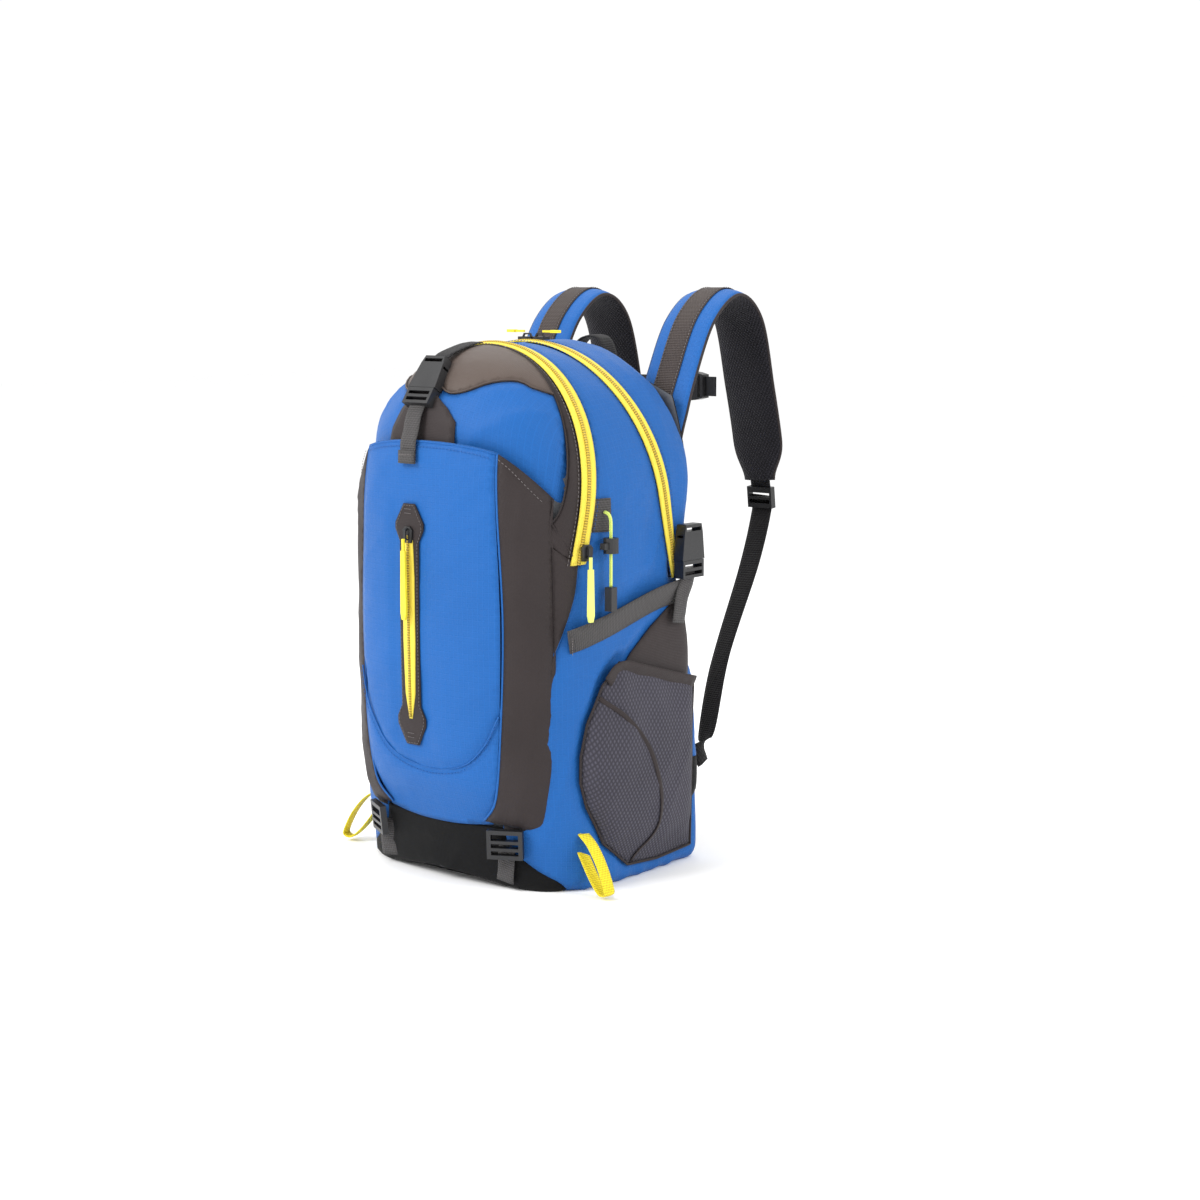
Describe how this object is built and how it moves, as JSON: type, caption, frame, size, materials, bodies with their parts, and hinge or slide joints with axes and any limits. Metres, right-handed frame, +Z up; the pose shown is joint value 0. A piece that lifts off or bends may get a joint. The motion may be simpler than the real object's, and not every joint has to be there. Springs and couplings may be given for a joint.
{
  "type": "daypack",
  "caption": "Panel-opening hiking daypack with front stash pocket, side mesh pockets, compression straps and padded shoulder harness.",
  "frame": {"origin": "centre of the flat underside of the base", "axes": "+Z up along the pack's height, +Y towards the wearer's back, +X towards the wearer's right"},
  "size_m": [0.3482, 0.4285, 0.5517],
  "materials": {
    "shell": "ripstop nylon",
    "dark_fabric": "coated nylon",
    "base_fabric": "coated nylon",
    "pocket_mesh": "stretch mesh",
    "pad_mesh": "air mesh over foam",
    "webbing": "ribbed webbing",
    "buckle_plastic": "moulded",
    "zip_yellow": "woven zip tape",
    "loop_yellow": "ribbed webbing",
    "neon_cord": "braided elastic cord",
    "frame_sheet": "polyethylene sheet"
  },
  "bodies": {
    "bag": {"base_shell": "base_fabric", "lower_shell": "shell", "rear_shell": "shell", "frame_sheet": "frame_sheet", "back_pad": "pad_mesh", "harness_yoke": "pad_mesh", "main_zip_tape": "zip_yellow", "stash_pocket": "shell", "front_zip_frame": "dark_fabric", "front_zip_tape": "zip_yellow", "mesh_pocket_right": "pocket_mesh", "mesh_pocket_left": "pocket_mesh", "compression_strap_right": "webbing", "compression_strap_left": "webbing", "compression_socket_right": "buckle_plastic", "compression_socket_left": "buckle_plastic", "gear_tab_right": "webbing", "gear_tab_left": "webbing", "gear_cord_right": "neon_cord", "gear_cord_left": "neon_cord", "cord_end_right": "buckle_plastic", "cord_end_left": "buckle_plastic", "base_strap_right": "webbing", "base_strap_left": "webbing", "strap_anchor_right": "base_fabric", "strap_anchor_left": "base_fabric"},
    "front_flap": {"front_flap": "shell", "main_zip_flap_tape": "zip_yellow", "front_zip_arch_tape": "zip_yellow", "stash_pocket_top": "shell", "top_strap": "webbing", "top_buckle_socket": "buckle_plastic"},
    "top_prongs": {"top_buckle_prongs": "buckle_plastic"},
    "front_slider": {"front_zip_slider": "buckle_plastic"},
    "front_pull": {"front_zip_pull": "zip_yellow"},
    "arch_slider": {"arch_zip_slider": "buckle_plastic"},
    "arch_pull": {"arch_zip_pull": "neon_cord"},
    "haul_loop": {"haul_loop": "webbing"},
    "main_slider_right": {"main_zip_slider_right": "zip_yellow"},
    "main_pull_right": {"main_zip_pull_right": "zip_yellow"},
    "compression_prongs_right": {"compression_prongs_right": "buckle_plastic"},
    "cord_lock_right": {"cord_lock_right": "buckle_plastic"},
    "cord_button_right": {"cord_lock_button_right": "buckle_plastic"},
    "ladder_lock_right": {"ladder_lock_right": "buckle_plastic"},
    "hem_loop_right": {"hem_loop_right": "loop_yellow"},
    "harness_right": {"shoulder_strap_right": "shell", "strap_webbing_right": "webbing"},
    "adjuster_right": {"strap_adjuster_right": "buckle_plastic"},
    "sternum_right": {"sternum_strap_right": "buckle_plastic"},
    "main_slider_left": {"main_zip_slider_left": "zip_yellow"},
    "main_pull_left": {"main_zip_pull_left": "zip_yellow"},
    "compression_prongs_left": {"compression_prongs_left": "buckle_plastic"},
    "cord_lock_left": {"cord_lock_left": "buckle_plastic"},
    "cord_button_left": {"cord_lock_button_left": "buckle_plastic"},
    "ladder_lock_left": {"ladder_lock_left": "buckle_plastic"},
    "hem_loop_left": {"hem_loop_left": "loop_yellow"},
    "harness_left": {"shoulder_strap_left": "shell", "strap_webbing_left": "webbing"},
    "adjuster_left": {"strap_adjuster_left": "buckle_plastic"},
    "sternum_left": {"sternum_strap_left": "buckle_plastic"}
  },
  "joints": [
    {"name": "flap_fold", "type": "hinge", "parent": "bag", "child": "front_flap", "pos_m": [0, -0.154, 0.365], "axis": [1, 0, 0], "range_deg": [0, 22]},
    {"name": "top_buckle_release", "type": "slide", "parent": "front_flap", "child": "top_prongs", "axis": [0, -0.5646, -0.8253], "range_m": [0, 0.026]},
    {"name": "front_zip_travel", "type": "slide", "parent": "bag", "child": "front_slider", "axis": [0, 0, 1], "range_m": [-0.168, 0]},
    {"name": "front_pull_lift", "type": "hinge", "parent": "front_slider", "child": "front_pull", "pos_m": [-0.012, -0.16175, 0.324], "axis": [1, 0, 0], "range_deg": [-110, 0]},
    {"name": "arch_zip_travel", "type": "slide", "parent": "bag", "child": "arch_slider", "axis": [0, 0.1825, 0.9832], "range_m": [0, 0.045]},
    {"name": "arch_pull_lift", "type": "hinge", "parent": "arch_slider", "child": "arch_pull", "pos_m": [0.14679, -0.08341, 0.312], "axis": [0.2955, 0.9553, 0], "range_deg": [-110, 0]},
    {"name": "main_zip_travel_right", "type": "hinge", "parent": "bag", "child": "main_slider_right", "pos_m": [0, 0.02917, 0.36], "axis": [0, 0.979, 0.204], "range_deg": [0, 72]},
    {"name": "main_pull_lift_right", "type": "hinge", "parent": "main_slider_right", "child": "main_pull_right", "pos_m": [0.013, 0.007, 0.51155], "axis": [0, -1, 0], "range_deg": [0, 150]},
    {"name": "compression_release_right", "type": "slide", "parent": "bag", "child": "compression_prongs_right", "axis": [0, 0, -1], "range_m": [0, 0.026]},
    {"name": "cord_lock_travel_right", "type": "slide", "parent": "bag", "child": "cord_lock_right", "axis": [0, 0, -1], "range_m": [0, 0.026]},
    {"name": "cord_button_press_right", "type": "slide", "parent": "cord_lock_right", "child": "cord_button_right", "axis": [0, 1, 0], "range_m": [0, 0.0025], "stiffness_N_per_m": 200, "springref_m": -0.001},
    {"name": "ladder_lock_tilt_right", "type": "hinge", "parent": "bag", "child": "ladder_lock_right", "pos_m": [0.082, -0.129, 0.058], "axis": [0.8776, 0.4794, 0], "range_deg": [-30, 0]},
    {"name": "hem_loop_swing_right", "type": "hinge", "parent": "bag", "child": "hem_loop_right", "pos_m": [0.13, -0.079, 0.03], "axis": [0, 0, 1], "range_deg": [-20, 20]},
    {"name": "harness_lift_right", "type": "hinge", "parent": "bag", "child": "harness_right", "pos_m": [0.086, 0.097, 0.432], "axis": [1, 0, 0], "range_deg": [0, 20]},
    {"name": "adjuster_tilt_right", "type": "hinge", "parent": "harness_right", "child": "adjuster_right", "pos_m": [0.09, 0.259, 0.348], "axis": [1, 0, 0], "range_deg": [0, 25]},
    {"name": "sternum_travel_right", "type": "slide", "parent": "harness_right", "child": "sternum_right", "axis": [0, 0.25, -0.9682], "range_m": [-0.025, 0.025]},
    {"name": "main_zip_travel_left", "type": "hinge", "parent": "bag", "child": "main_slider_left", "pos_m": [0, 0.02917, 0.36], "axis": [0, 0.979, 0.204], "range_deg": [-72, 0]},
    {"name": "main_pull_lift_left", "type": "hinge", "parent": "main_slider_left", "child": "main_pull_left", "pos_m": [-0.013, 0.007, 0.51155], "axis": [0, 1, 0], "range_deg": [0, 150]},
    {"name": "compression_release_left", "type": "slide", "parent": "bag", "child": "compression_prongs_left", "axis": [0, 0, -1], "range_m": [0, 0.026]},
    {"name": "cord_lock_travel_left", "type": "slide", "parent": "bag", "child": "cord_lock_left", "axis": [0, 0, -1], "range_m": [0, 0.026]},
    {"name": "cord_button_press_left", "type": "slide", "parent": "cord_lock_left", "child": "cord_button_left", "axis": [0, 1, 0], "range_m": [0, 0.0025], "stiffness_N_per_m": 200, "springref_m": -0.001},
    {"name": "ladder_lock_tilt_left", "type": "hinge", "parent": "bag", "child": "ladder_lock_left", "pos_m": [-0.082, -0.129, 0.058], "axis": [0.8776, -0.4794, 0], "range_deg": [-30, 0]},
    {"name": "hem_loop_swing_left", "type": "hinge", "parent": "bag", "child": "hem_loop_left", "pos_m": [-0.13, -0.079, 0.03], "axis": [0, 0, 1], "range_deg": [-20, 20]},
    {"name": "harness_lift_left", "type": "hinge", "parent": "bag", "child": "harness_left", "pos_m": [-0.086, 0.097, 0.432], "axis": [1, 0, 0], "range_deg": [0, 20]},
    {"name": "adjuster_tilt_left", "type": "hinge", "parent": "harness_left", "child": "adjuster_left", "pos_m": [-0.09, 0.259, 0.348], "axis": [1, 0, 0], "range_deg": [0, 25]},
    {"name": "sternum_travel_left", "type": "slide", "parent": "harness_left", "child": "sternum_left", "axis": [0, 0.25, -0.9682], "range_m": [-0.025, 0.025]},
    {"name": "haul_loop_swing", "type": "hinge", "parent": "bag", "child": "haul_loop", "pos_m": [0, 0.094, 0.478], "axis": [1, 0, 0], "range_deg": [-40, 0]}
  ],
  "couplings": [
    {"joint": "harness_lift_left", "follows": "harness_lift_right", "ratio": 1},
    {"joint": "sternum_travel_left", "follows": "sternum_travel_right", "ratio": 1}
  ]
}
